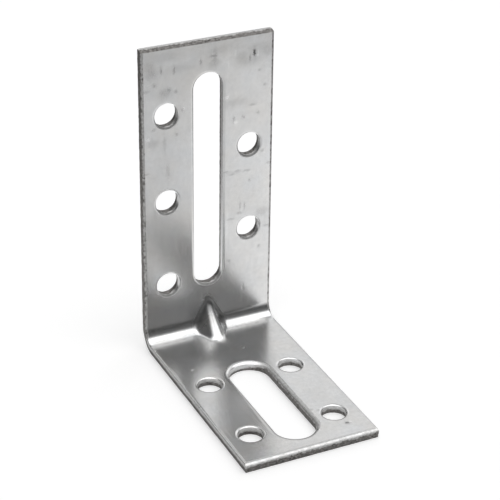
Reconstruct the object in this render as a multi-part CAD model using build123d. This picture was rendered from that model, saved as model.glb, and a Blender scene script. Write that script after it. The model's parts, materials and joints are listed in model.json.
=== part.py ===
from build123d import *
import math
import os

# A reinforced angle bracket: one strip of zinc-coated sheet steel, punched flat, folded square once,
# with a rib pressed into the fold from outside so that the two arms can't spread apart.
# Millimetres. X runs across the width. The upright arm, the plate, is at the back, on the +Y side.
# The other arm, the leg, lies on the floor and points to -Y. Z is up.
# The origin is the middle of the bracket's footprint, at floor level.

# Strip and fold
width = 30.0
plate_height = 70.0
leg_length = 53.0
sheet = 2.0
fold_inner_radius = 3.0

# Nail and screw holes, in two files, one each side of the slot
hole_diameter = 5.3
file_spacing = 19.0

# Rows in the plate, measured up from the floor, take the left and the right file in turn
plate_first_row = 15.0
plate_row_pitch = 10.0
plate_last_row_margin = 12.0

# Rows in the leg, measured from the plate's back face, have a hole in both files
leg_first_row = 23.7
leg_row_pitch = 20.0
leg_last_row_margin = 6.0

# Slot in the plate, for a bolt set at any height, measured as the rows are
plate_slot_width = 6.8
plate_slot_start = 13.0
plate_slot_end_margin = 7.0

# Slot in the leg, for a bolt set at any depth, measured as the rows are
leg_slot_width = 9.0
leg_slot_start = 19.0
leg_slot_end_margin = 4.0

# Pressed rib: a V with a round nose that crosses the fold at 45 degrees
rib_reach = 6.5
rib_half_angle = 37.0
rib_crest_radius = 1.8
rib_foot_radius = 2.5
rib_thickness = 1.7
groove_nose_radius = 0.5
groove_rim_radius = 0.6

# What the cutting tools leave. Where they enter, the face rolls down towards the cut: with this radius,
# and through this angle, which is less round the punches. The leg's punches are blunter than the plate's.
end_roll_radius = 0.9
end_roll_angle = 90.0
side_roll_radius = 0.4
side_roll_angle = 90.0
plate_rim_roll_radius = 0.45
plate_rim_roll_angle = 50.0
leg_rim_roll_radius = 0.65
leg_rim_roll_angle = 70.0

# Where the tools leave, the wall is torn and leans back, more deeply at the ends and sides than at the rims
edge_torn_depth = 1.0
rim_torn_depth = 0.7
torn_slope = 0.08

# How far a cutting tool runs past the sheet
overrun = 1.0

back_y = leg_length / 2
front_y = back_y - leg_length
plate_face_y = back_y - sheet

# The axis that the strip turns round at the fold
fold_outer_radius = fold_inner_radius + sheet
fold_axis_y = back_y - fold_outer_radius
fold_axis = Axis(origin=(0, fold_axis_y, fold_outer_radius), direction=(-1, 0, 0))

# Each arm laid out flat: x is across it, y runs along it from the outer corner of the fold,
# and z goes through the sheet from the outer face, which the tools leave, to the inner one.
on_plate = Plane(origin=(0, back_y, 0), x_dir=(1, 0, 0), z_dir=(0, -1, 0))
on_leg = Plane(origin=(0, back_y, 0), x_dir=(-1, 0, 0), z_dir=(0, 0, 1))


def cut_wall(edge, roll_radius, roll_angle, torn_depth):
    """A cut's outline from the torn to the rolled face, at u = edge, with the sheet on its low side."""
    roll_start = (edge - roll_radius * math.sin(math.radians(roll_angle)), sheet)
    rolled = JernArc(start=roll_start, tangent=(1, 0), radius=roll_radius, arc_size=-roll_angle)
    land = Line((edge, torn_depth), rolled @ 1)
    torn = Line((edge - torn_slope, 0), (edge, torn_depth))
    return torn + land + rolled


def waste(edge, far, roll_radius, roll_angle, torn_depth):
    """The section of what a tool removes between the cut wall at edge and u = far."""
    wall = cut_wall(edge, roll_radius, roll_angle, torn_depth)
    torn_corner = wall @ 0
    rolled_corner = wall @ 1
    around = Polyline(
        rolled_corner,
        (rolled_corner.X, sheet + overrun),
        (far, sheet + overrun),
        (far, -overrun),
        (torn_corner.X, -overrun),
        torn_corner,
    )
    return make_face(wall + around)


def strip_section():
    """The slit strip cut straight across, with its outer face along v = 0."""
    right = cut_wall(width / 2, side_roll_radius, side_roll_angle, edge_torn_depth)
    left = mirror(right, about=Plane.YZ)
    inner_face = Line(right @ 1, left @ 1)
    outer_face = Line(right @ 0, left @ 0)
    return make_face(right + inner_face + left + outer_face)


def folded_strip():
    """The plate, a quarter turn round the fold's axis, and the leg, all with the strip's section."""
    top_of_fold = Plane(origin=(0, back_y, fold_outer_radius), x_dir=(1, 0, 0), z_dir=(0, 0, -1))
    end_of_fold = Plane(origin=(0, fold_axis_y, 0), x_dir=(1, 0, 0), z_dir=(0, -1, 0))
    plate = extrude(top_of_fold * strip_section(), fold_outer_radius - plate_height)
    fold = revolve(top_of_fold * strip_section(), axis=fold_axis, revolution_arc=90)
    leg = extrude(end_of_fold * strip_section(), leg_length - fold_outer_radius)
    return plate + fold + leg


def end_cuts():
    """What one shear stroke takes off both ends: it parts two brackets, so they roll opposite ways."""
    leg_end = Plane(origin=(0, front_y, 0), x_dir=(0, -1, 0), z_dir=(-1, 0, 0))
    plate_end = Plane(origin=(0, plate_face_y, plate_height), x_dir=(0, 0, 1), z_dir=(-1, 0, 0))
    section = waste(0, overrun, end_roll_radius, end_roll_angle, edge_torn_depth)
    return [extrude(end * section, width / 2 + overrun, both=True) for end in (leg_end, plate_end)]


def v_bar(crest, nose_radius, base):
    """A bar along the rib, with a V section whose round nose is at crest and whose open side is at base.

    Both heights are measured out of the corner where the two inner faces would meet.
    """
    across_rib = Plane(origin=(0, plate_face_y, sheet), x_dir=(1, 0, 0), z_dir=(0, -1, -1))
    half_angle = math.radians(rib_half_angle)
    apex = crest + nose_radius * (1 / math.sin(half_angle) - 1)
    half_base = (apex - base) * math.tan(half_angle)
    section = make_face(Polyline((-half_base, base), (0, apex), (half_base, base), close=True))
    section = fillet(section.vertices().sort_by(Axis.Y)[-1], nose_radius)
    return extrude(across_rib * section, rib_reach + 2 * sheet, both=True)


def seam(body, first, second):
    """The edges of body where the skins of first and second meet."""
    skins = (first.shell(), second.shell())
    touching = 1e-4
    return [edge for edge in body.edges() if all(s.distance_to(edge @ 0.5) < touching for s in skins)]


def press_rib(strip):
    """The ridge raised inside the fold, and the groove that the punch leaves outside it."""
    crest = rib_reach / math.sqrt(2)
    buried = sheet / 2
    inside = Box(width, leg_length, plate_height, align=(Align.CENTER, Align.MAX, Align.MIN))
    ridge = v_bar(crest, rib_crest_radius, 0) & Pos(0, plate_face_y + buried, sheet - buried) * inside
    raised = strip + ridge
    raised = fillet(seam(raised, strip, ridge), rib_foot_radius)

    outer_corner = -sheet * math.sqrt(2)
    groove = v_bar(crest - rib_thickness, groove_nose_radius, outer_corner - overrun)
    pressed = raised - groove
    return fillet(seam(pressed, raised, groove), groove_rim_radius)


def punched_hole(diameter, roll_radius, roll_angle):
    """A round punch's cut through a flat arm."""
    half_section = Plane.XZ * waste(-diameter / 2, 0, roll_radius, roll_angle, rim_torn_depth)
    return revolve(half_section, axis=Axis.Z, revolution_arc=360)


def punched_slot(slot_width, start, end, roll_radius, roll_angle):
    """A round-ended punch's cut along an arm, from start to end."""
    half_section = Plane.XZ * waste(-slot_width / 2, 0, roll_radius, roll_angle, rim_torn_depth)
    section = half_section + mirror(half_section, about=Plane.YZ)
    first_centre = start + slot_width / 2
    last_centre = end - slot_width / 2
    straight = Pos(0, last_centre, 0) * extrude(section, last_centre - first_centre)
    round_end = revolve(half_section, axis=Axis.Z, revolution_arc=180)
    near_end = Pos(0, first_centre, 0) * round_end
    far_end = Pos(0, last_centre, 0) * Rot(0, 0, 180) * round_end
    return straight + near_end + far_end


def rows(first, pitch, last):
    """The rows that fit from first to last, at one pitch."""
    return [first + i * pitch for i in range(math.floor((last - first) / pitch) + 1)]


def plate_punchings():
    """The plate's slot, and its holes that take the left and the right file in turn."""
    roll = (plate_rim_roll_radius, plate_rim_roll_angle)
    cuts = [punched_slot(plate_slot_width, plate_slot_start, plate_height - plate_slot_end_margin, *roll)]
    hole = punched_hole(hole_diameter, *roll)
    side = -1
    for along in rows(plate_first_row, plate_row_pitch, plate_height - plate_last_row_margin):
        cuts.append(Pos(side * file_spacing / 2, along, 0) * hole)
        side = -side
    return [on_plate * cut for cut in cuts]


def leg_punchings():
    """The leg's slot, and its pairs of holes."""
    roll = (leg_rim_roll_radius, leg_rim_roll_angle)
    cuts = [punched_slot(leg_slot_width, leg_slot_start, leg_length - leg_slot_end_margin, *roll)]
    hole = punched_hole(hole_diameter, *roll)
    for along in rows(leg_first_row, leg_row_pitch, leg_length - leg_last_row_margin):
        cuts += [Pos(side * file_spacing / 2, along, 0) * hole for side in (-1, 1)]
    return [on_leg * cut for cut in cuts]


def angle_bracket():
    """The whole bracket: the strip folded, its rib pressed, then every end, hole and slot cut."""
    bracket = press_rib(folded_strip())
    for cut in end_cuts() + plate_punchings() + leg_punchings():
        bracket -= cut
    return bracket


os.makedirs("parts", exist_ok=True)
export_step(angle_bracket(), "parts/angle_bracket.step")
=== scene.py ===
# %% [markdown]
# A reinforced angle bracket
#
# The real bracket is one strip of zinc-coated sheet steel. A press punches it flat, folds it square once,
# and pushes a rib into the fold so that its two arms can't spread. This lesson makes it in that order:
# the flat strip with its punched walls first, then the fold and the rib, then the steel's surface, and
# last the light and the camera.
#
# The engineering model comes first, as a frame that fixes every size. All of this lesson is in its
# coordinates, in metres: X runs across the width, Y towards the wall that the bracket is fixed to, and Z up.
# The upright arm is called the plate, and the arm on the floor the leg.

# %% Load the engineering model
import json
import math

import bpy
import numpy as np
from mathutils import Matrix, Vector
from mathutils.geometry import delaunay_2d_cdt


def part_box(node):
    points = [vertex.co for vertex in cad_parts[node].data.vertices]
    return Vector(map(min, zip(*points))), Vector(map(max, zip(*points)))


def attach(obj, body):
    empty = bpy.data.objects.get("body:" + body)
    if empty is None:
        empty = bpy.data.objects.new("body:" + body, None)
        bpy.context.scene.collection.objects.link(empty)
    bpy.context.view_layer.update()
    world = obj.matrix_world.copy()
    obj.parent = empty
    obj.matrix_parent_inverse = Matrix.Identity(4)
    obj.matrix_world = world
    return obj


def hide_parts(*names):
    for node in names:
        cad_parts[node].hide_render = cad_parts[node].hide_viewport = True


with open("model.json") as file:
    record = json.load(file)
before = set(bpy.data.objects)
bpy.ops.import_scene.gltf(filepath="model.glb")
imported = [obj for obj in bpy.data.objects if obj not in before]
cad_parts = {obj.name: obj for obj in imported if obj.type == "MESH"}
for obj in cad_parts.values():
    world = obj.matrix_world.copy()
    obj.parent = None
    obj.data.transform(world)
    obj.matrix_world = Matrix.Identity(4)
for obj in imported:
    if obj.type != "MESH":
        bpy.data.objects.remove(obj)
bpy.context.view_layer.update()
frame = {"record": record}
mm = 0.001


# %% [markdown]
# The sizes
#
# The frame's box gives the three outer sizes. The record's list of mounts, where screws and bolts go,
# gives every hole and slot, and the height of the leg's holes gives the thickness of the sheet. Reading
# them there is safer than typing them again: if the bracket changes, this lesson follows it.

# %% Read the outer sizes
low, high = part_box("angle_bracket")
width = high.x - low.x
leg_length = high.y - low.y
plate_height = high.z
back_y = high.y
mounts = {mount["name"]: mount for mount in frame["record"]["mounts"]}
sheet = mounts["leg_screw_holes"]["pos_m"][2]
print(f"width {width / mm:.1f}, leg {leg_length / mm:.1f}, plate {plate_height / mm:.1f} mm")
print(f"sheet {sheet / mm:.1f} mm")

# %% [markdown]
# The strip laid flat
#
# A point of the flat strip has three numbers: how far it is across, how far it is along, and how high it
# lies in the sheet, from 0 on the outer face to the sheet's thickness on the inner face. Along is 0 at the
# middle of the fold, positive in the plate and negative in the leg. The fold takes as much of the strip as
# a quarter turn has along the middle of the sheet, which is hardly stretched or squeezed.

# %% Measure the flat strip
fold_inner_radius = 3 * mm
fold_outer_radius = fold_inner_radius + sheet
fold_length = math.pi / 2 * (fold_inner_radius + sheet / 2)


def along_strip(from_corner):
    """A distance from the fold's outer corner, measured on a finished arm, as a place along the strip."""
    return from_corner - fold_outer_radius + fold_length / 2


plate_end = along_strip(plate_height)
leg_end = -along_strip(leg_length)
print(f"the flat strip is {(plate_end - leg_end) / mm:.1f} mm long")

# %% Lay out the holes and slots


def either_side(spacing):
    """The two places half a spacing from the middle, or the middle alone."""
    return (-spacing / 2, spacing / 2) if spacing else (0.0,)


def openings_of(mount):
    """Each opening of one mount: its middle across and along, its radius, and half of its straight part."""
    sizes = mount["dims"]
    x, y, z = mount["pos_m"]
    in_leg = mount["axis"][2] > 0
    radius = sizes["hole_r_mm"] * mm
    half_straight = max(sizes.get("slot_length_mm", 0) * mm / 2 - radius, 0)
    for shift_across in either_side(sizes.get("spacing_x_mm", 0) * mm):
        for shift_along in either_side(sizes.get("spacing_y_mm", 0) * mm):
            if in_leg:
                along = -along_strip(back_y - y - shift_along)
            else:
                along = along_strip(z + shift_along)
            yield x + shift_across, along, radius, half_straight


openings = [opening for m in mounts.values() if m["kind"] == "bolt_pattern" for opening in openings_of(m)]
print(len(openings), "holes and slots")

# %% [markdown]
# The walls that a press leaves
#
# A punch or a shear doesn't cut sheet like a knife. Where it enters, the face bends down into a round
# roll. Below that is a smooth band, and then the steel gives way and tears, leaning back a little. So a cut
# wall has a section, and this section goes all round each opening and along each edge.
#
# The wall is described by how far it stands back from the cut's outline at each height in the sheet. That
# is a rule with a few numbers, so it is a class, and each kind of cut is one object of it.

# %% Describe a cut wall


class Cut:
    """One kind of cut: its roll, and the depth of its torn band and how far that leans back.

    The tool comes in from the sheet's inner face, unless the cut says otherwise. The torn look reaches
    higher than the leaning band does, by a share of it all round that may be negative, and by a further
    share on its worst side. That is the side where the way into the sheet is worst_way.
    """

    def __init__(self, roll_radius, roll_angle, torn_depth, torn_lean=0.08 * mm, from_inner_face=True,
                 look_higher=0.0, worst_way=(0, -1), worst_higher=0.0):
        self.radius = roll_radius
        self.angle = math.radians(roll_angle)
        self.torn_depth = torn_depth
        self.torn_lean = torn_lean
        self.from_inner_face = from_inner_face
        self.look_higher = look_higher
        self.worst_way = worst_way
        self.worst_higher = worst_higher

    def above_tear(self, height):
        """How far a height in the sheet is from the torn face."""
        return height if self.from_inner_face else sheet - height

    def tear_share(self, height, into_sheet):
        """A height above the torn face, as a share of the depth that looks torn on one side of the cut."""
        worst_share = max(0, np.dot(into_sheet, self.worst_way)) ** 2
        looks_torn = self.torn_depth * (1 + self.look_higher + self.worst_higher * worst_share)
        return self.above_tear(height) / looks_torn

    def inset(self, height):
        """How far the wall stands back at a height in the sheet."""
        above = self.above_tear(height)
        into_roll = max(above - sheet + self.radius * (1 - math.cos(self.angle)), 0)
        start_angle = math.acos(min(math.cos(self.angle) + into_roll / self.radius, 1))
        rolled = self.radius * (math.sin(self.angle) - math.sin(start_angle))
        torn = self.torn_lean * max(1 - above / self.torn_depth, 0)
        return rolled + torn

    def heights(self, roll_steps=6, wall_steps=8):
        """Heights close enough together to show the roll's curve and the torn band."""
        angles = [self.angle * i / roll_steps for i in range(roll_steps + 1)]
        roll_depths = [self.radius * (1 - math.cos(angle)) for angle in angles]
        wall = np.linspace(0, sheet - roll_depths[-1], wall_steps + 1)
        return [self.above_tear(above) for above in [*wall, *(sheet - depth for depth in roll_depths)]]


# %% [markdown]
# This bracket's cuts
#
# Each tool leaves its own section, and the photograph shows it by the width of the bright and dark lines
# along each edge. Of the punches, the one for the leg's slot is the bluntest, so its roll is the widest. In
# the plate's openings the steel has torn highest at the bottom, and in the leg's slot on the right. The
# plate's two sides are torn higher than the leg's.
#
# One shear stroke parts one bracket from the next, so the leg's end is rolled on its inner face and the
# plate's end on its outer one.

# %% List the cuts
rim_torn_depth = 0.7 * mm
edge_torn_depth = 1.0 * mm
slit_roll = (0.9 * mm, 35)
plate_punched = Cut(0.8 * mm, 36, rim_torn_depth, worst_higher=1.2)
leg_punched = Cut(0.7 * mm, 44, rim_torn_depth, look_higher=0.2)
leg_slot_punched = Cut(1.3 * mm, 48, rim_torn_depth, look_higher=-0.3, worst_way=(1, 0), worst_higher=1.3)
slit = Cut(*slit_roll, edge_torn_depth)
slit_plate = Cut(*slit_roll, edge_torn_depth, look_higher=0.8)
sheared = Cut(1.25 * mm, 48, edge_torn_depth, look_higher=0.25)
sheared_from_outside = Cut(0.2 * mm, 60, edge_torn_depth, torn_lean=0.38 * mm, from_inner_face=False)


def punch_for(opening):
    """The kind of cut that the punches make in the plate, and in the leg at its slot and its holes."""
    _, along, _, half_straight = opening
    if along > 0:
        return plate_punched
    return leg_slot_punched if half_straight else leg_punched


print(f"the leg's holes roll over {leg_punched.inset(sheet) / mm:.2f} mm, its slot over ", end="")
print(f"{leg_slot_punched.inset(sheet) / mm:.2f} mm, and its end over {sheared.inset(sheet) / mm:.2f} mm")

# %% [markdown]
# Rings of points
#
# Each cut wall is built from rings, one for each height. A ring follows the cut's outline, moved back by the
# inset at its height. For a hole or a slot that's the radius grown by the inset. The strip's own outline is
# a rectangle, and moving its sides back only shrinks it, by a different amount at each end.
#
# Rings that all have the same number of points are easy to join by rows of four-sided faces. The strip's
# ring runs anticlockwise and the openings' rings clockwise, so that every wall faces out of the steel.
#
# Each point also gets the direction in which torn steel would break away: into the sheet.

# %% Make the ring of an opening
ring_step = 0.35 * mm


class Wall:
    """A cut wall: rings of flat points, one for each height, and each point's way into the sheet.

    cuts gives the kind of cut that each step of a ring belongs to.
    """

    def __init__(self, heights, rings, into_sheet, cuts):
        self.heights = heights
        self.rings = rings
        self.into_sheet = into_sheet
        self.cuts = cuts


def spaced(heights, least=0.03 * mm):
    """The heights in order, up to the inner face, without those that nearly repeat the one before."""
    kept = []
    for height in sorted(heights):
        if not kept or height - kept[-1] > least:
            kept.append(height)
    kept[-1] = sheet
    return kept


def opening_wall(opening):
    """A punched hole, or a slot with round ends."""
    across, along, radius, half_straight = opening
    punched = punch_for(opening)
    heights = spaced(punched.heights())
    half_turn = np.linspace(0, -math.pi, round(math.pi * radius / ring_step) + 1)
    if half_straight:
        steps = round(2 * half_straight / ring_step)
        run = [half_straight * (2 * i / steps - 1) for i in range(1, steps)]
        spots = [(-half_straight, angle) for angle in half_turn] + [(shift, -math.pi) for shift in run]
        spots += [(half_straight, angle - math.pi) for angle in half_turn] + [(-shift, 0) for shift in run]
    else:
        spots = [(0, angle) for angle in [*half_turn[:-1], *(half_turn[:-1] - math.pi)]]
    centres = np.array([(across, along + shift) for shift, _ in spots])
    outwards = np.array([(math.cos(angle), math.sin(angle)) for _, angle in spots])
    rings = [centres + outwards * (radius + punched.inset(height)) for height in heights]
    return Wall(heights, rings, outwards, [punched] * len(spots))


# %% Make the ring of the strip


def strip_wall():
    """The strip's own outline: its two slit sides and its two sheared ends.

    It is laid out first on a rectangle from (-1, 0) to (1, 1), anticlockwise from the leg's left corner.
    """
    heights = spaced([height for cut in (slit, sheared, sheared_from_outside) for height in cut.heights()])
    strip_length = plate_end - leg_end
    across = np.linspace(-1, 1, round(width / ring_step) + 1)
    along = np.linspace(0, 1, round(strip_length / ring_step) + 1)
    corners = [(x, 0) for x in across[:-1]] + [(1, s) for s in along[:-1]]
    corners += [(x, 1) for x in across[:0:-1]] + [(-1, s) for s in along[:0:-1]]
    shares = np.array(corners)
    rings = []
    for height in heights:
        half_width = width / 2 - slit.inset(height)
        first = leg_end + sheared.inset(height)
        last = plate_end - sheared_from_outside.inset(height)
        rings.append(np.column_stack([shares[:, 0] * half_width, first + shares[:, 1] * (last - first)]))
    on_side = np.where(abs(shares[:, 0]) == 1, -shares[:, 0], 0)
    on_end = np.where(shares[:, 1] == 0, 1, np.where(shares[:, 1] == 1, -1, 0))
    up_the_side = [slit_plate if share * strip_length > -leg_end else slit for share in along[:-1]]
    cuts = [sheared] * (len(across) - 1) + up_the_side
    cuts += [sheared_from_outside] * (len(across) - 1) + up_the_side[::-1]
    return Wall(heights, rings, np.column_stack([on_side, on_end]), cuts)


walls = [strip_wall()] + [opening_wall(opening) for opening in openings]
print(sum(len(wall.into_sheet) for wall in walls), "points round the outline and openings")

# %% [markdown]
# The two faces
#
# Between the walls lie the strip's inner and outer faces. They could be filled with a few huge faces, but
# a fold needs rows of points to bend along, and the rib needs a fine patch of them. So loose points are
# scattered on a grid, coarse in the arms, finer across the fold and finest under the rib, and a Delaunay
# triangulation joins them to the rings. It always picks the plumpest triangles that it can.
#
# The loose points keep clear of the rims, but for one band of them close to each rim. Without that band the
# shading of the round roll would spread over the flat face beside it.

# %% Scatter the points of a face
arm_step = 1.0 * mm
fold_step = 0.5 * mm
rib_step = 0.16 * mm
rib_patch_across = 4.8 * mm
rib_patch_along = fold_length / 2 + 3.6 * mm
clear_of_side = arm_step
clear_of_end = 1.5 * arm_step
clear_of_rim = 0.4 * mm
rim_band = 0.12 * mm
face_heights = {0: 0.0, -1: sheet}


def grid(x_from, x_to, s_from, s_to, x_step, s_step):
    """Points of a rectangle, evenly spaced, on its border too."""
    xs = np.linspace(x_from, x_to, round((x_to - x_from) / x_step) + 1)
    ss = np.linspace(s_from, s_to, round((s_to - s_from) / s_step) + 1)
    return np.array([(x, s) for s in ss for x in xs])


def from_opening(points, opening):
    """How far points are from an opening's rim, negative inside it."""
    across, along, radius, half_straight = opening
    past = np.maximum(abs(points[:, 1] - along) - half_straight, 0)
    return np.hypot(points[:, 0] - across, past) - radius


def face_points(level):
    """The loose points of a face: level 0 is the outer face, and level -1 the inner one."""
    side = width / 2 - clear_of_side
    past_fold = fold_length / 2 + arm_step
    coarse = np.vstack([
        grid(-side, side, leg_end + clear_of_end, -past_fold - arm_step, arm_step, arm_step),
        grid(-side, side, -past_fold, past_fold, arm_step, fold_step),
        grid(-side, side, past_fold + arm_step, plate_end - clear_of_end, arm_step, arm_step),
    ])
    patch_corner = np.array([rib_patch_across, rib_patch_along]) + fold_step / 2
    in_patch = (abs(coarse) < patch_corner).all(axis=1)
    patch = grid(-rib_patch_across, rib_patch_across, -rib_patch_along, rib_patch_along, rib_step, rib_step)
    points = np.vstack([coarse[~in_patch], patch])
    for opening in openings:
        rim = punch_for(opening).inset(face_heights[level])
        points = points[from_opening(points, opening) > rim + clear_of_rim]
    bands = [wall.rings[level] + wall.into_sheet * rim_band for wall in walls]
    return np.vstack([points, *bands])


print(len(face_points(0)), "loose points on the outer face and", len(face_points(-1)), "on the inner")

# %% Triangulate a face

# What the triangulation hands back, and how near two of its points may be, in millimetres
whole_hull = 0
same_place = 1e-6


def face_triangles(level, loose):
    """Triangles between the rims of all the walls, by the numbers of the rims' points and the loose ones."""
    rims = [wall.rings[level] for wall in walls]
    points = np.vstack([*rims, loose])
    edges = []
    start = 0
    for rim in rims:
        count = len(rim)
        edges += [(start + i, start + (i + 1) % count) for i in range(count)]
        start += count
    spots = [Vector(point) for point in points / mm]
    _, _, faces, origins, _, _ = delaunay_2d_cdt(spots, edges, [], whole_hull, same_place)
    triangles = np.array([[origins[corner][0] for corner in face] for face in faces])
    middles = points[triangles].mean(axis=1)
    solid = np.ones(len(triangles), bool)
    for opening in openings:
        solid &= from_opening(middles, opening) > punch_for(opening).inset(face_heights[level])
    return triangles[solid]


# %% [markdown]
# The blank, as one closed mesh
#
# The walls and the two faces share their rim points, so the mesh is closed from the start. Two things are
# kept on it for later. Each point of a wall has the way that torn steel breaks off, and each corner of a
# face says how high up the wall it is, as a share of the torn depth: up to 1 the steel is torn.

# %% Gather the blank

# The share of the torn depth over which the tear fades out, and a share that is far above any tear
tear_fade = 0.15
never_torn = 100


def tear_strength(cut, height, into_sheet):
    """1 in the torn band of a cut, and 0 in the smooth band above it."""
    return float(np.clip((1 - cut.tear_share(height, into_sheet)) / tear_fade, 0, 1))


class Blank:
    """The blank's mesh while it is gathered, with what each point and each corner of a face keeps."""

    def __init__(self):
        self.points = []
        self.tears = []
        self.faces = []
        self.tear_shares = []

    def add_wall(self, wall):
        """Adds one wall, and gives the numbers of the points in its lowest ring and in its highest."""
        count = len(wall.into_sheet)
        first = len(self.points)
        for height, ring in zip(wall.heights, wall.rings):
            for i, (x, s) in enumerate(ring):
                self.points.append((float(x), float(s), height))
                meeting = (wall.cuts[i], wall.cuts[i - 1])
                strength = max(tear_strength(cut, height, wall.into_sheet[i]) for cut in meeting)
                self.tears.append((*(wall.into_sheet[i] * strength), 0))
        for level in range(len(wall.heights) - 1):
            below = first + level * count
            above = below + count
            for i in range(count):
                after = (i + 1) % count
                self.faces.append((below + i, below + after, above + after, above + i))
                for corner, up in ((i, 0), (after, 0), (after, 1), (i, 1)):
                    share = wall.cuts[i].tear_share(wall.heights[level + up], wall.into_sheet[corner])
                    self.tear_shares.append(share)
        return range(first, first + count), range(len(self.points) - count, len(self.points))

    def add_face(self, level, rim_numbers):
        """Fills one face of the sheet between the rims of all the walls."""
        loose = face_points(level)
        numbers = np.array([*rim_numbers, *range(len(self.points), len(self.points) + len(loose))])
        triangles = numbers[face_triangles(level, loose)]
        if level == 0:
            triangles = triangles[:, ::-1]
        self.points += [(float(x), float(s), face_heights[level]) for x, s in loose]
        self.tears += [(0, 0, 0)] * len(loose)
        self.faces += triangles.tolist()
        self.tear_shares += [never_torn] * triangles.size


# %% Build the blank


def flat_blank():
    """The punched strip before it is folded."""
    gathered = Blank()
    rings = [gathered.add_wall(wall) for wall in walls]
    for level in face_heights:
        gathered.add_face(level, [number for ring in rings for number in ring[level]])
    mesh = bpy.data.meshes.new("flat_blank")
    mesh.from_pydata(gathered.points, [], gathered.faces)
    tear = mesh.attributes.new("tear", "FLOAT_VECTOR", "POINT")
    tear.data.foreach_set("vector", np.array(gathered.tears, np.float32).ravel())
    share = mesh.attributes.new("tear_share", "FLOAT", "CORNER")
    share.data.foreach_set("value", np.array(gathered.tear_shares, np.float32))
    return mesh


blank = bpy.data.objects.new("blank", flat_blank())
bpy.context.scene.collection.objects.link(blank)
print("blank:", len(blank.data.vertices), "vertices,", len(blank.data.polygons), "faces")

# %% [markdown]
# Helpers for node trees
#
# Geometry and shading are both written as node trees, and small helpers keep that readable. The first adds
# a node, sets it up and wires its inputs, and the second starts a group. The others each stand for a node
# or two and hand back the result, so that a rule reads like the sum that it is.

# %% Nodes and groups


def add(tree, kind, inputs=None, **settings):
    """Adds a node. An input is a number to set, or another node's output to link."""
    made = tree.nodes.new(kind)
    for name, value in settings.items():
        setattr(made, name, value)
    for key, value in (inputs or {}).items():
        if isinstance(value, bpy.types.NodeSocket):
            tree.links.new(value, made.inputs[key])
        else:
            made.inputs[key].default_value = value
    return made


def new_group(name, tree_kind, inputs, outputs):
    """A new group with these sockets, and the outputs of the node that hands in its inputs."""
    group = bpy.data.node_groups.new(name, tree_kind)
    for in_out, sockets in (("INPUT", inputs), ("OUTPUT", outputs)):
        for socket, kind in sockets.items():
            group.interface.new_socket(socket, in_out=in_out, socket_type=f"NodeSocket{kind}")
    return group, add(group, "NodeGroupInput").outputs


# %% Sums of numbers


def calc(tree, operation, *values):
    """The result of one Math node."""
    return add(tree, "ShaderNodeMath", dict(enumerate(values)), operation=operation).outputs[0]


def weighted_sum(tree, start, *terms):
    """The start, and each value times its weight added to it."""
    total = start
    for value, weight in terms:
        total = calc(tree, "MULTIPLY_ADD", value, weight, total)
    return total


def limited(tree, value, least, most):
    """The value, but no lower than least and no higher than most."""
    return calc(tree, "MAXIMUM", calc(tree, "MINIMUM", value, most), least)


def ramp(tree, value, start, end, shape="LINEAR"):
    """A rise from 0 at start to 1 at end, which stays level before and after."""
    reach = {"Value": value, "From Min": start, "From Max": end}
    return add(tree, "ShaderNodeMapRange", reach, interpolation_type=shape).outputs[0]


# %% Sums of vectors


def vector_calc(tree, operation, *values):
    """The result of one Vector Math node: a vector, or a number for a length or a dot product."""
    made = add(tree, "ShaderNodeVectorMath", dict(enumerate(values)), operation=operation)
    return made.outputs["Value" if operation in ("LENGTH", "DOT_PRODUCT") else "Vector"]


def scaled(tree, vector, factor):
    """A vector or a colour times a number."""
    return add(tree, "ShaderNodeVectorMath", {0: vector, "Scale": factor}, operation="SCALE").outputs[0]


def join_xyz(tree, x, y, z):
    """Three numbers as one vector."""
    return add(tree, "ShaderNodeCombineXYZ", {0: x, 1: y, 2: z}).outputs[0]


def split_xyz(tree, vector):
    """The three numbers of a vector."""
    return add(tree, "ShaderNodeSeparateXYZ", {0: vector}).outputs


def noise(tree, place, scale, detail, seed):
    """A noise from 0 to 1 that averages a half."""
    sizes = {"Vector": place, "Scale": scale, "Detail": detail, "W": seed}
    return add(tree, "ShaderNodeTexNoise", sizes, noise_dimensions="4D").outputs[0]


# %% [markdown]
# Fold and press
#
# This is the work of the press, as a Geometry Nodes tree, because every point follows one rule.
#
# 1. The torn bands break away unevenly, by a noise that is fixed by its seed.
# 2. The strip folds. Each point turns round the fold's axis by its share of the fold's length, at a radius
#    that depends on its height in the sheet. What lies past the fold runs straight on.
# 3. The rib is pushed in from outside at 45 degrees. Seen from that direction, the fold and a V-shaped
#    ridge are both heights above the corner, and pressing keeps the larger one. A smooth maximum rounds
#    where they meet, as the steel does. The groove behind is the same rule on the outer face, with its
#    crest lower by the thickness that the rib keeps.
#
# The ridge's nose is sharper at the top of the rib than at its toe, and Taper says by what share. Bow says
# how much higher its crest is in the middle than at its ends. Here it is negative, so the crest is hollow.

# %% Rule of the pressed face
diagonal = math.sqrt(0.5)


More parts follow.
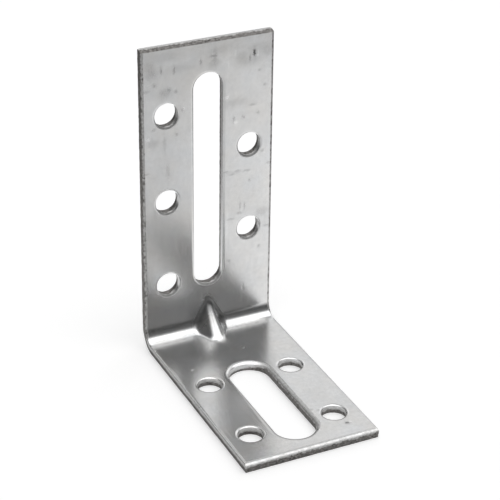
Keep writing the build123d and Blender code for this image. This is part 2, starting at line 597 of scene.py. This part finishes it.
def pressed_face_tree():
    """A tree for one face of the sheet: raises it to a V with a round nose."""
    sizes = ("Back", "Sheet", "Crest", "Bow", "Nose Radius", "Taper", "Half Angle", "Blend")
    inputs = {"Geometry": "Geometry", "Face": "Bool", **dict.fromkeys(sizes, "Float")}
    tree, given = new_group("press_face", "GeometryNodeTree", inputs, {"Geometry": "Geometry"})
    x, y, z = split_xyz(tree, add(tree, "GeometryNodeInputPosition").outputs[0])

    before_plate = calc(tree, "SUBTRACT", calc(tree, "SUBTRACT", given["Back"], given["Sheet"]), y)
    over_leg = calc(tree, "SUBTRACT", z, given["Sheet"])
    height = calc(tree, "MULTIPLY", calc(tree, "ADD", before_plate, over_leg), diagonal)

    off_centre = calc(tree, "ABSOLUTE", x)
    up_ridge = calc(tree, "MULTIPLY", calc(tree, "SUBTRACT", over_leg, before_plate), diagonal)
    end_share = limited(tree, calc(tree, "DIVIDE", up_ridge, given["Crest"]), -1, 1)
    taper = calc(tree, "SUBTRACT", 1, calc(tree, "MULTIPLY", given["Taper"], end_share))
    nose = calc(tree, "MULTIPLY", given["Nose Radius"], taper)
    nose_half_width = calc(tree, "MULTIPLY", nose, calc(tree, "COSINE", given["Half Angle"]))
    on_nose = calc(tree, "MINIMUM", off_centre, nose_half_width)
    nose_square = calc(tree, "SUBTRACT", calc(tree, "POWER", nose, 2), calc(tree, "POWER", on_nose, 2))
    nose_drop = calc(tree, "SUBTRACT", nose, calc(tree, "SQRT", nose_square))
    on_flank = calc(tree, "SUBTRACT", off_centre, on_nose)
    flank_drop = calc(tree, "DIVIDE", on_flank, calc(tree, "TANGENT", given["Half Angle"]))
    bow_share = calc(tree, "SUBTRACT", 0.5, calc(tree, "POWER", end_share, 2))
    crest_here = weighted_sum(tree, given["Crest"], (bow_share, given["Bow"]))
    ridge = calc(tree, "SUBTRACT", crest_here, calc(tree, "ADD", nose_drop, flank_drop))

    raised = calc(tree, "SMOOTH_MAX", height, ridge, given["Blend"])
    push = calc(tree, "MULTIPLY", calc(tree, "SUBTRACT", raised, height), diagonal)
    shift = join_xyz(tree, 0, calc(tree, "MULTIPLY", push, -1), push)
    face = {"Geometry": given["Geometry"], "Selection": given["Face"]}
    noted = add(tree, "GeometryNodeStoreNamedAttribute", {**face, "Name": "pushed", "Value": push},
                data_type="FLOAT", domain="POINT").outputs[0]
    moved = add(tree, "GeometryNodeSetPosition", {**face, "Geometry": noted, "Offset": shift})
    add(tree, "NodeGroupOutput", {0: moved.outputs[0]})
    return tree


# %% Rule of the torn walls
bite_start = 0.35
bite_full = 0.7
grain_detail = 3


def stored(tree, name):
    """The vector that the mesh keeps at each point under a name."""
    return add(tree, "GeometryNodeInputNamedAttribute", {"Name": name}, data_type="FLOAT_VECTOR").outputs[0]


def break_away(tree, given, geometry):
    """Moves the torn walls into the sheet where the noise is strong."""
    grain_scale = calc(tree, "DIVIDE", 1, given["Ragged Grain"])
    grain = noise(tree, stored(tree, "flat_place"), grain_scale, grain_detail, given["Seed"])
    bite = ramp(tree, grain, bite_start, bite_full)
    broken = scaled(tree, stored(tree, "tear"), calc(tree, "MULTIPLY", bite, given["Ragged Depth"]))
    return add(tree, "GeometryNodeSetPosition", {"Geometry": geometry, "Offset": broken}).outputs[0]


# %% Rule of the fold


def fold(tree, given, geometry, place):
    """Turns the strip a quarter turn round the fold's axis."""
    x, along, height = split_xyz(tree, place)
    outer_radius = calc(tree, "ADD", given["Inner Radius"], given["Sheet"])
    middle_radius = calc(tree, "ADD", given["Inner Radius"], calc(tree, "MULTIPLY", given["Sheet"], 0.5))
    half_fold = calc(tree, "MULTIPLY", middle_radius, math.pi / 4)
    in_fold = limited(tree, along, calc(tree, "MULTIPLY", half_fold, -1), half_fold)
    past_fold = calc(tree, "SUBTRACT", along, in_fold)
    up_plate = calc(tree, "MAXIMUM", past_fold, 0)
    down_leg = calc(tree, "MINIMUM", past_fold, 0)
    turn = calc(tree, "ADD", calc(tree, "DIVIDE", in_fold, middle_radius), math.pi / 4)
    radius = calc(tree, "SUBTRACT", outer_radius, height)
    axis_y = calc(tree, "SUBTRACT", given["Back"], outer_radius)
    out = calc(tree, "ADD", axis_y, calc(tree, "MULTIPLY", radius, calc(tree, "SINE", turn)))
    down = calc(tree, "SUBTRACT", outer_radius, calc(tree, "MULTIPLY", radius, calc(tree, "COSINE", turn)))
    bent = join_xyz(tree, x, calc(tree, "ADD", out, down_leg), calc(tree, "ADD", down, up_plate))
    return add(tree, "GeometryNodeSetPosition", {"Geometry": geometry, "Position": bent}).outputs[0]


# %% Rule of the whole bracket


def fold_and_press_tree(press_face):
    """A tree that tears, folds and presses the flat blank. Its inputs are the sizes of the tools."""
    sheet_sizes = ("Sheet", "Inner Radius", "Back", "Ragged Depth", "Ragged Grain", "Seed")
    rib_sizes = ("Rib Crest", "Rib Bow", "Rib Taper", "Rib Nose Radius", "Rib Blend", "Half Angle")
    groove_sizes = ("Groove Crest", "Groove Nose Radius", "Groove Blend")
    sizes = dict.fromkeys((*sheet_sizes, *rib_sizes, *groove_sizes), "Float")
    inputs = {"Geometry": "Geometry", **sizes, "Material": "Material"}
    tree, given = new_group("fold_and_press", "GeometryNodeTree", inputs, {"Geometry": "Geometry"})

    place = add(tree, "GeometryNodeInputPosition").outputs[0]
    noted = {"Geometry": given["Geometry"], "Name": "flat_place", "Value": place}
    marked = add(tree, "GeometryNodeStoreNamedAttribute", noted, data_type="FLOAT_VECTOR", domain="POINT")
    pressed = fold(tree, given, break_away(tree, given, marked.outputs[0]), place)

    flat_height = split_xyz(tree, stored(tree, "flat_place"))[2]
    middle = calc(tree, "MULTIPLY", given["Sheet"], 0.5)
    inner = calc(tree, "GREATER_THAN", flat_height, middle)
    outer = calc(tree, "LESS_THAN", flat_height, middle)
    for side, form in ((inner, "Rib"), (outer, "Groove")):
        wires = {"Geometry": pressed, "Face": side, "Bow": given["Rib Bow"], "Taper": given["Rib Taper"]}
        wires.update({name: given[name] for name in ("Back", "Sheet", "Half Angle")})
        wires.update({name: given[f"{form} {name}"] for name in ("Crest", "Nose Radius", "Blend")})
        pressed = add(tree, "GeometryNodeGroup", wires, node_tree=press_face).outputs[0]

    whole = add(tree, "GeometryNodeRealizeInstances", {0: pressed}).outputs[0]
    dressed = add(tree, "GeometryNodeSetMaterial", {"Geometry": whole, "Material": given["Material"]})
    add(tree, "NodeGroupOutput", {0: dressed.outputs[0]})
    return tree


# %% Set the tools
rib_reach = 6.5 * mm
rib_thickness = 1.7 * mm
rib_crest = rib_reach * diagonal
steel = bpy.data.materials.new("zinc_coated_steel")
tool_sizes = {
    "Sheet": sheet,
    "Inner Radius": fold_inner_radius,
    "Back": back_y,
    "Ragged Depth": 0.06 * mm,
    "Ragged Grain": 0.9 * mm,
    "Seed": 7.0,
    "Rib Crest": rib_crest,
    "Rib Nose Radius": 1.8 * mm,
    "Rib Bow": -0.2 * mm,
    "Rib Taper": 0.45,
    "Rib Blend": 1.4 * mm,
    "Groove Crest": rib_crest - rib_thickness,
    "Groove Nose Radius": 0.5 * mm,
    "Groove Blend": 0.5 * mm,
    "Half Angle": math.radians(37),
    "Material": steel,
}
print(f"the rib's crest stands {rib_crest / mm:.2f} mm out of the corner")

# %% Fold the bracket


def run_tree(piece, tree, values):
    """The mesh that a Geometry Nodes tree makes of a piece, with these named inputs."""
    modifier = piece.modifiers.new(tree.name, "NODES")
    modifier.node_group = tree
    for item in tree.interface.items_tree:
        if item.in_out == "INPUT" and item.name in values:
            modifier[item.identifier] = values[item.name]
    bpy.context.view_layer.update()
    graph = bpy.context.evaluated_depsgraph_get()
    mesh = bpy.data.meshes.new_from_object(piece.evaluated_get(graph), depsgraph=graph)
    piece.modifiers.remove(modifier)
    return mesh


crease = math.radians(35)
folded_mesh = run_tree(blank, fold_and_press_tree(pressed_face_tree()), tool_sizes)
folded_mesh.name = "bracket"
folded_mesh.shade_smooth()
folded_mesh.set_sharp_from_angle(angle=crease)
bracket = bpy.data.objects.new("bracket", folded_mesh)
bpy.context.scene.collection.objects.link(bracket)
bpy.data.objects.remove(blank)
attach(bracket, "root")
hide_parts("angle_bracket")
print("bracket:", len(folded_mesh.vertices), "vertices,", len(folded_mesh.polygons), "faces")

# %% [markdown]
# Tools for the surface
#
# Zinc-coated steel is never one flat grey. The sheet carries fine lines from the rolling mill, clouds where
# the coating is a little thicker, small pits and scuffs from handling, and on its cut walls the bare torn
# steel shows, dark and crumbly. Each of these is a shader node group with named inputs, so that it can be
# used again in another finish. A group only puts out numbers. The shader that turns them into light stays in
# the material.
#
# All patterns read the place on the flat strip, which was stored before the fold. So the mill's lines run
# along the strip and turn with it round the fold, as they do on the real one. That place reaches the groups
# in millimetres, and so do all sizes.

# %% Group: lines from the rolling mill


def about_zero(tree, value):
    """Turns a noise from 0 to 1, most of it near a half, into one from about -1 to 1."""
    return calc(tree, "MULTIPLY", calc(tree, "SUBTRACT", value, 0.5), 4)


def mill_lines_group():
    """Fine lines along the strip, from about -1 to 1."""
    inputs = {"Place": "Vector", "Line Width": "Float", "Line Length": "Float", "Seed": "Float"}
    tree, given = new_group("mill_lines", "ShaderNodeTree", inputs, {"Lines": "Float"})
    across = calc(tree, "DIVIDE", 1, given["Line Width"])
    along = calc(tree, "DIVIDE", 1, given["Line Length"])
    squeezed = vector_calc(tree, "MULTIPLY", given["Place"], join_xyz(tree, across, along, across))
    lines = about_zero(tree, noise(tree, squeezed, scale=1, detail=2, seed=given["Seed"]))
    add(tree, "NodeGroupOutput", {0: lines})
    return tree


# %% Group: clouds in the coating


def coating_clouds_group():
    """Soft clouds, lighter and darker, warmer and cooler, each from about -1 to 1."""
    inputs = {"Place": "Vector", "Cloud Size": "Float", "Seed": "Float"}
    tree, given = new_group("coating_clouds", "ShaderNodeTree", inputs, {"Tone": "Float", "Warmth": "Float"})
    scale = calc(tree, "DIVIDE", 1, given["Cloud Size"])
    other_seed = calc(tree, "ADD", given["Seed"], 20)
    tone = about_zero(tree, noise(tree, given["Place"], scale, detail=4, seed=given["Seed"]))
    warmth = about_zero(tree, noise(tree, given["Place"], scale, detail=1, seed=other_seed))
    add(tree, "NodeGroupOutput", {0: tone, 1: warmth})
    return tree


# %% Group: the cut wall

# Shares of the torn depth between which the torn look fades, and then the bare look
tear_border = (1.1, 0.9)
zinc_border = (1.9, 1.2)
border_scale = 1.3
fleck_contrast = (0.32, 0.76)


def cut_wall_group():
    """Tells torn steel, smooth steel and zinc on a cut wall, with ragged borders, and flecks them."""
    sizes = ("Tear Share", "Ragged", "Fleck Size", "Seed")
    inputs = {"Place": "Vector", **dict.fromkeys(sizes, "Float")}
    outputs = {"Torn": "Float", "Bare": "Float", "Flecks": "Float"}
    tree, given = new_group("cut_wall", "ShaderNodeTree", inputs, outputs)
    border = about_zero(tree, noise(tree, given["Place"], border_scale, detail=3, seed=given["Seed"]))
    share = weighted_sum(tree, given["Tear Share"], (border, given["Ragged"]))
    fleck_scale = calc(tree, "DIVIDE", 1, given["Fleck Size"])
    flecks = noise(tree, given["Place"], fleck_scale, detail=2, seed=given["Seed"])
    torn = ramp(tree, share, *tear_border)
    bare = ramp(tree, share, *zinc_border)
    add(tree, "NodeGroupOutput", {0: torn, 1: bare, 2: ramp(tree, flecks, *fleck_contrast)})
    return tree


# %% Group: one mark


def spot_mark_group():
    """The mask of one mark, such as a pit, a dent or a painted glint: 1 in its middle, 0 away from it."""
    inputs = {"Place": "Vector", "Centre": "Vector", "Half Size": "Vector"}
    tree, given = new_group("spot_mark", "ShaderNodeTree", inputs, {"Mask": "Float"})
    off = vector_calc(tree, "SUBTRACT", given["Place"], given["Centre"])
    away = vector_calc(tree, "LENGTH", vector_calc(tree, "DIVIDE", off, given["Half Size"]))
    mask = calc(tree, "DIVIDE", 1, calc(tree, "ADD", 1, calc(tree, "POWER", away, 4)))
    add(tree, "NodeGroupOutput", {0: mask})
    return tree


mill_lines = mill_lines_group()
coating_clouds = coating_clouds_group()
cut_wall = cut_wall_group()
spot_mark = spot_mark_group()
print("surface tools:", [group.name for group in (mill_lines, coating_clouds, cut_wall, spot_mark)])

# %% [markdown]
# Marks from use, and painted glints
#
# This bracket has been handled. It has pits, small upright dents and wide faint smudges, most of them on the
# plate. Its few small bright glints are painted highlights. The marks are listed in millimetres on each arm:
# across it from the middle, and along it from the fold's outer corner.
#
# Marks of one kind share their half size across and along, a strength and a depth, also in millimetres. A
# negative strength is darker than the steel, and a positive one is brighter.

# %% Place the marks
mark_kinds = {
    "deep dent": ((0.3, 0.7), -0.75, 0.02),
    "dent": ((0.2, 0.8), -0.25, 0.006),
    "long streak": ((0.35, 1.8), -0.13, 0),
    "pit": ((0.36, 0.36), -0.2, 0.006),
    "deep pit": ((0.5, 0.32), -0.65, 0.02),
    "scuff": ((0.75, 0.26), -0.2, 0.003),
    "smudge": ((1.3, 1.0), -0.15, 0),
    "wide smudge": ((3.0, 0.9), -0.1, 0),
    # Kinds with a positive strength are painted highlights: spots of brighter colour, with no relief.
    "scratch": ((0.14, 0.7), 0.14, 0),
    "glint": ((0.35, 0.3), 0.25, 0),
    "long glint": ((0.25, 4.0), 0.09, 0),
}
plate_marks = {
    "deep dent": [(10.5, 65.8)],
    "dent": [(9.5, 64.8), (-10.6, 65.1), (-7.7, 64.8), (-1.7, 65.8), (5.8, 51.3), (8.5, 30.3), (7.5, 30.5),
             (8.4, 10.1)],
    "long streak": [(-10, 48.7), (-9.3, 42.3), (1.5, 66.5), (-12.3, 34)],
    "pit": [(11.7, 61.7), (12.9, 58.2), (11.5, 52), (8.1, 51.6), (12.6, 42.9), (-8.8, 60.7), (-7.4, 60.1),
            (-6, 55.8), (-12.4, 52.4), (-7.3, 50.5), (14, 39.8), (4.8, 17.5), (12.1, 19.7), (9.7, 36.5),
            (-12.2, 62.2)],
    "scuff": [(-14, 61.1), (-14.4, 42.4), (13.8, 24.5), (5.4, 27.8), (4.2, 39.3), (5.4, 38.6), (6.8, 39.1),
              (7.3, 28.9), (10.1, 54), (1, 66.5), (9.1, 38.8)],
    "smudge": [(7.5, 65.4), (-12.8, 64.6), (-9.7, 60), (-12.6, 49.1), (12.6, 28.2), (-13.3, 66.4),
               (1.2, 64.9), (13.6, 65.6)],
    "wide smudge": [(6.5, 55.2), (-9, 68), (9, 64), (3, 67.6), (12, 67), (-6, 65)],
    # Painted highlights: bright glints on the plate.
    "scratch": [(6.2, 66.3), (11.4, 65.2), (4.5, 64.1)],
    "glint": [(6.3, 50.6), (4.2, 56.6), (-13.6, 50.3), (-5.6, 55.9)],
    "long glint": [(4.4, 25.5)],
}
leg_marks = {
    "deep pit": [(10.2, 48.3)],
    "pit": [(6.9, 41.8), (5.6, 41)],
    "smudge": [(-4.3, 18), (-8, 11)],
    # The leg's glints are painted highlights.
    "glint": [(-10.5, 17), (3.2, 13.4), (1.5, 16.8), (11, 48.2)],
}


def mark_places(marks, arm):
    """Each mark's kind and its middle on the flat strip, in millimetres.

    arm is 1 for the plate, and -1 for the leg, where places along the strip are negative.
    """
    for kind, spots in marks.items():
        for across, from_corner in spots:
            yield kind, (across, arm * along_strip(from_corner * mm) / mm, sheet / mm)


marks = [*mark_places(plate_marks, 1), *mark_places(leg_marks, -1)]
print(len(marks), "marks of", len(mark_kinds), "kinds")

# %% [markdown]
# The steel
#
# Bright zinc is a metal, so its colour is what it reflects, and the roughness says how blurred. The material
# is built in four steps: the marks, the patterns, the painted shade in the fold, and the mixing of them all.
#
# A mark is an oval, which is too neat by itself, so the place that it reads wobbles by a noise. Each mark's
# mask adds to three sums: how much darker or brighter the steel is, how much rougher, and how deep.

# %% Gather the marks
steel.use_nodes = True
finish = steel.node_tree
finish.nodes.clear()
stored_place = add(finish, "ShaderNodeAttribute", attribute_name="flat_place").outputs["Vector"]
tear_share = add(finish, "ShaderNodeAttribute", attribute_name="tear_share").outputs["Fac"]
pushed = add(finish, "ShaderNodeAttribute", attribute_name="pushed").outputs["Fac"]
place = scaled(finish, stored_place, 1 / mm)

mark_half_thickness = 0.3
wobble_scale = 2.2
wobble_reach = (0.8, 0.8, 0)
wobbles = {"Vector": place, "Scale": wobble_scale, "Detail": 2}
wobble = add(finish, "ShaderNodeTexNoise", wobbles).outputs["Color"]
centred = vector_calc(finish, "SUBTRACT", wobble, (0.5, 0.5, 0.5))
ragged_place = vector_calc(finish, "MULTIPLY_ADD", centred, wobble_reach, place)

mark_tone = 0.0
mark_cover = 0.0
mark_depth = 0.0
for kind, centre in marks:
    half_size, strength, depth = mark_kinds[kind]
    wires = {"Place": ragged_place, "Centre": centre, "Half Size": (*half_size, mark_half_thickness)}
    mask = add(finish, "ShaderNodeGroup", wires, node_tree=spot_mark, label=kind).outputs[0]
    # A mark with a positive strength paints a highlight into the tone.
    mark_tone = calc(finish, "MULTIPLY_ADD", mask, strength, mark_tone)
    mark_cover = calc(finish, "MULTIPLY_ADD", mask, abs(strength), mark_cover)
    if depth:
        mark_depth = calc(finish, "MULTIPLY_ADD", mask, depth, mark_depth)
print("the marks took", len(finish.nodes), "nodes")

# %% Lay the patterns over the steel


def patterns(group, sizes):
    """The outputs of one of the surface's groups, laid over the steel with these sizes."""
    return add(finish, "ShaderNodeGroup", {"Place": place, **sizes}, node_tree=group).outputs


cloud_tone, cloud_warmth = patterns(coating_clouds, {"Cloud Size": 5.0, "Seed": 3.0})
fine_tone = patterns(coating_clouds, {"Cloud Size": 1.0, "Seed": 8.0})["Tone"]
lines = patterns(mill_lines, {"Line Width": 0.35, "Line Length": 4.0, "Seed": 5.0})["Lines"]
wall_sizes = {"Tear Share": tear_share, "Ragged": 0.3, "Fleck Size": 0.32, "Seed": 11.0}
torn, bare, flecks = patterns(cut_wall, wall_sizes)

# %% [markdown]
# Painted shade in the fold
#
# Two darker places in the fold are painted shade. Round the rib's foot, mostly on the plate's side, the
# steel is painted darker, and it is also made a little rougher. The tree stored how far each point was
# pushed, and that finds the foot. A narrow painted dark line also runs across the upper half of the fold.
# It stops at the rib.

# %% Find the painted shade in the fold
foot_push = 0.015 * mm
crest_push = (0.5 * mm, 2.2 * mm)
plate_side = (-1.0, 1.5)
# Where the painted dark line across the fold lies, and its half width, in millimetres along the strip
fold_line_middle = 2.1
fold_line_half_width = 0.5

up_strip = split_xyz(finish, place)[1]
foot = ramp(finish, pushed, 0, foot_push)
below_crest = calc(finish, "SUBTRACT", 1, ramp(finish, pushed, *crest_push))
foot_on_plate = calc(finish, "MULTIPLY", foot, ramp(finish, up_strip, *plate_side))
# Painted shade round the rib's foot, mostly on the plate's side. It darkens the colour, and the steel there
# is also a little rougher.
rib_foot_dulling_and_painted_shade = calc(finish, "MULTIPLY", foot_on_plate, below_crest)

# A painted dark line across the upper half of the fold, standing in for shade. It stops at the rib.
off_line = calc(finish, "DIVIDE", calc(finish, "SUBTRACT", up_strip, fold_line_middle), fold_line_half_width)
across_line = calc(finish, "EXPONENT", calc(finish, "MULTIPLY", calc(finish, "POWER", off_line, 2), -1))
painted_fold_shade_line = calc(finish, "MULTIPLY", across_line, calc(finish, "SUBTRACT", 1, foot))

# %% [markdown]
# Colour, roughness and relief
#
# The zinc is a little cool in some clouds and a little warm in others. Its tone is 1 for plain zinc, and
# every pattern and painted shade adds to it by its own weight. The cut walls have their own colours: a
# lighter grey for the smooth band, and flecked dark grey where the steel is torn. They are mixed in over
# the zinc.
#
# The roughness and the relief are sums of the same kind. The relief is in millimetres, and it goes to the
# shader through a Bump node.

# %% Mix the colour
cool_zinc = (0.765, 0.775, 0.785, 1)
warm_zinc = (0.785, 0.775, 0.76, 1)
dark_band = (0.5, 0.495, 0.49, 1)
bright_band = (0.78, 0.78, 0.77, 1)
dark_tear = (0.1, 0.096, 0.092, 1)
bright_tear = (0.42, 0.405, 0.39, 1)
darkest_tone = 0.12


def mix(share, first, second):
    """The first colour where the share is 0, and the second where it is 1."""
    return add(finish, "ShaderNodeMix", {0: share, 6: first, 7: second}, data_type="RGBA").outputs[2]


patterned = weighted_sum(finish, 1, (cloud_tone, 0.04), (fine_tone, 0.055), (lines, 0.022))
# Painted shade: the rib's foot and the line across the fold darken the tone here.
pressed = weighted_sum(finish, patterned, (painted_fold_shade_line, -0.6), (rib_foot_dulling_and_painted_shade, -0.65))
tone = calc(finish, "MAXIMUM", calc(finish, "ADD", pressed, mark_tone), darkest_tone)
warm_share = weighted_sum(finish, 0.5, (cloud_warmth, 0.5))
zinc = scaled(finish, mix(warm_share, cool_zinc, warm_zinc), tone)
smooth_band = mix(flecks, dark_band, bright_band)
torn_band = mix(flecks, dark_tear, bright_tear)
colour = mix(torn, mix(bare, zinc, smooth_band), torn_band)

# %% Finish the steel
zinc_roughness = 0.24
roughness = weighted_sum(finish, zinc_roughness, (cloud_tone, -0.02), (lines, 0.015), (mark_cover, 0.15),
                         (bare, 0.27), (rib_foot_dulling_and_painted_shade, 0.15))
torn_flecks = calc(finish, "MULTIPLY", flecks, torn)
relief = weighted_sum(finish, 0, (lines, 0.0006), (cloud_tone, 0.006), (mark_depth, -1), (torn_flecks, 0.05))
bump = add(finish, "ShaderNodeBump", {"Height": relief, "Distance": mm, "Strength": 1.0}).outputs[0]
looks = {"Base Color": colour, "Roughness": roughness, "Normal": bump, "Metallic": 1.0}
skin = add(finish, "ShaderNodeBsdfPrincipled", looks)
add(finish, "ShaderNodeOutputMaterial", {"Surface": skin.outputs[0]})
print("steel:", len(finish.nodes), "nodes")

# %% [markdown]
# The floor
#
# The photograph was taken on white paper, and its background is pure white. Metal shows what it mirrors, so
# the paper matters twice. The upright plate mirrors the paper in front of the bracket, and the rims that
# lean to the right mirror the far right of the table, where the photograph has them dark. So the paper
# is white in front and at the left, and it fades to a dark table at the right and far away.
#
# The camera must not see that table. A Light Path node tells a camera's ray from a mirrored one, so the
# camera always finds white paper, with a little glow that lifts it to the background's white, and the
# bracket's soft shadow stays on it. In the steel the paper also glows brighter, evenly towards the right.
# That is a painted pool of light, an emission that only mirrored rays see, where no lamp stands.

# %% Lay the floor
floor_reach = 2.0
floor_z = -0.02 * mm
corners = [(x * floor_reach, y * floor_reach, floor_z) for x, y in ((-1, -1), (1, -1), (1, 1), (-1, 1))]
floor_mesh = bpy.data.meshes.new("floor")
floor_mesh.from_pydata(corners, [], [(0, 1, 2, 3)])
floor = bpy.data.objects.new("floor", floor_mesh)
bpy.context.scene.collection.objects.link(floor)

# %% Directions in the room


def towards(azimuth, elevation):
    """The direction of a place in the room: degrees clockwise from +Y, and degrees up from the floor."""
    turned, raised = math.radians(azimuth), math.radians(elevation)
    return (math.sin(turned) * math.cos(raised), math.cos(turned) * math.cos(raised), math.sin(raised))


def soft_step(tree, value, start, end):
    """A smooth rise from 0 at start to 1 at end."""
    return ramp(tree, value, start, end, shape="SMOOTHSTEP")


# %% Paint the floor
paper_white, table_grey = 0.8, 0.3
table_azimuth, table_start, table_end = 47.5, 28 * mm, 48 * mm
paper_reach, paper_end = 150 * mm, 200 * mm
# The painted pool of light on the paper: its direction, where it starts and ends, and how bright it glows in
# the steel
glow_azimuth, glow_start, glow_end = 61, -15 * mm, 40 * mm
glow_in_steel = 0.34
camera_lift = 0.37

paper = bpy.data.materials.new("pale_floor")
paper.use_nodes = True
paint = paper.node_tree
paint.nodes.clear()
ray = add(paint, "ShaderNodeLightPath").outputs
spot = add(paint, "ShaderNodeNewGeometry").outputs["Position"]
to_table = vector_calc(paint, "DOT_PRODUCT", spot, towards(table_azimuth, 0))
to_glow = vector_calc(paint, "DOT_PRODUCT", spot, towards(glow_azimuth, 0))
near = soft_step(paint, vector_calc(paint, "LENGTH", spot), paper_end, paper_reach)
on_paper = calc(paint, "MULTIPLY", soft_step(paint, to_table, table_end, table_start), near)
white_share = calc(paint, "MAXIMUM", on_paper, ray["Is Camera Ray"])
white = weighted_sum(paint, table_grey, (white_share, paper_white - table_grey))
diffuse = add(paint, "ShaderNodeBsdfDiffuse", {"Color": white})
# Painted light: the paper glows brighter towards the right, only where the steel mirrors it.
painted_light_pool = calc(paint, "MULTIPLY", soft_step(paint, to_glow, glow_start, glow_end), on_paper)
in_steel = calc(paint, "MULTIPLY", painted_light_pool, ray["Is Glossy Ray"])
lift = weighted_sum(paint, 0, (ray["Is Camera Ray"], camera_lift), (in_steel, glow_in_steel))
glow = add(paint, "ShaderNodeEmission", {"Strength": lift})
both = add(paint, "ShaderNodeAddShader", {0: diffuse.outputs[0], 1: glow.outputs[0]})
add(paint, "ShaderNodeOutputMaterial", {"Surface": both.outputs[0]})
floor_mesh.materials.append(paper)
print("paper:", len(paint.nodes), "nodes")

# %% [markdown]
# The room
#
# No lamp object is needed. The room itself is the light: a dim grey, with a few round lights in it, each
# given by its direction, how wide it is, how softly it ends, and how bright it is.
#
# Each light is there for one part of the photograph. The fold and the crest of the rib mirror the one
# overhead, and its sharp border draws the sharp upper edge of the fold's white band. The leg's face mirrors
# the two behind the bracket. The one above at the left lights the paper, and hardly anything mirrors it in
# the photograph's view. Seen from above the leg does, so its light is spread wide, because a smaller and
# stronger one would burn the leg out to white. The one near at the left is dim, and softens the left side of
# the rib's highlight.
#
# The camera itself sees plain white behind the bracket, by a Light Path node as on the floor.

# %% Group: a round light


def round_light_group():
    """How bright a round light in the room is, seen in the direction of a ray."""
    sizes = ("Radius", "Fade", "Strength")
    inputs = {"Ray": "Vector", "Direction": "Vector", **dict.fromkeys(sizes, "Float")}
    tree, given = new_group("round_light", "ShaderNodeTree", inputs, {"Glow": "Float"})
    facing = vector_calc(tree, "DOT_PRODUCT", given["Ray"], given["Direction"])
    off = calc(tree, "ARCCOSINE", calc(tree, "MINIMUM", facing, 1))
    past = calc(tree, "DIVIDE", calc(tree, "SUBTRACT", off, given["Radius"]), given["Fade"])
    dimming = calc(tree, "ADD", 1, calc(tree, "EXPONENT", past))
    add(tree, "NodeGroupOutput", {0: calc(tree, "DIVIDE", given["Strength"], dimming)})
    return tree


# %% Light the room
room_grey = 0.12
room_lights = {
    "overhead": {"azimuth": 113.5, "elevation": 60.7, "radius": 23.5, "fade": 1.2, "strength": 1.6},
    "behind": {"azimuth": 4, "elevation": 35, "radius": 16, "fade": 6, "strength": 1.7},
    "behind at the right": {"azimuth": 59, "elevation": 30, "radius": 19, "fade": 6.5, "strength": 1.56},
    "above at the left": {"azimuth": -120, "elevation": 76, "radius": 25, "fade": 5, "strength": 2.15},
    "near at the left": {"azimuth": 180, "elevation": 64, "radius": 16, "fade": 7, "strength": 0.75},
}
world = bpy.data.worlds.new("studio")
bpy.context.scene.world = world
world.use_nodes = True
room = world.node_tree
room.nodes.clear()
way = add(room, "ShaderNodeTexCoord").outputs["Generated"]
round_light = round_light_group()
brightness = room_grey
for name, light in room_lights.items():
    wires = {"Ray": way, "Direction": towards(light["azimuth"], light["elevation"])}
    wires.update({"Radius": math.radians(light["radius"]), "Fade": math.radians(light["fade"])})
    wires["Strength"] = light["strength"]
    made = add(room, "ShaderNodeGroup", wires, node_tree=round_light, label=name)
    brightness = calc(room, "ADD", made.outputs[0], brightness)
from_camera = add(room, "ShaderNodeLightPath").outputs["Is Camera Ray"]
seen = add(room, "ShaderNodeMix", {0: from_camera, 2: brightness, 3: 1.0}).outputs[0]
sky = add(room, "ShaderNodeBackground", {"Strength": seen})
add(room, "ShaderNodeOutputWorld", {"Surface": sky.outputs[0]})
print("the room has", len(room_lights), "lights")

# %% [markdown]
# The camera
#
# The camera stands where the real one stood. Its place, its turn and its focal length come from the corners,
# holes and slots of the photograph: with these numbers all of them fall where the photograph has them. It
# looks down at the bracket from the front left, with a long lens, so the perspective is mild.

# %% Set up the camera
camera_place = Vector((-137.035, -278.749, 203.188)) * mm
camera_azimuth = math.radians(-25.8751)
camera_elevation = math.radians(28.6423)
camera_roll = math.radians(0.7666)
eye = bpy.data.cameras.new("camera")
eye.lens = 125.564
eye.sensor_width = 36.0
eye.clip_start = 0.01
sideways = Matrix.Rotation(camera_azimuth, 4, "Z")
down = Matrix.Rotation(math.pi / 2 - camera_elevation, 4, "X")
rolled = Matrix.Rotation(camera_roll, 4, "Z")
camera = bpy.data.objects.new("camera", eye)
camera.matrix_world = Matrix.Translation(camera_place) @ sideways @ down @ rolled
bpy.context.scene.collection.objects.link(camera)
bpy.context.scene.camera = camera
bpy.context.scene.view_settings.view_transform = "Standard"
print(f"the camera stands {camera_place.length / mm:.0f} mm from the origin")
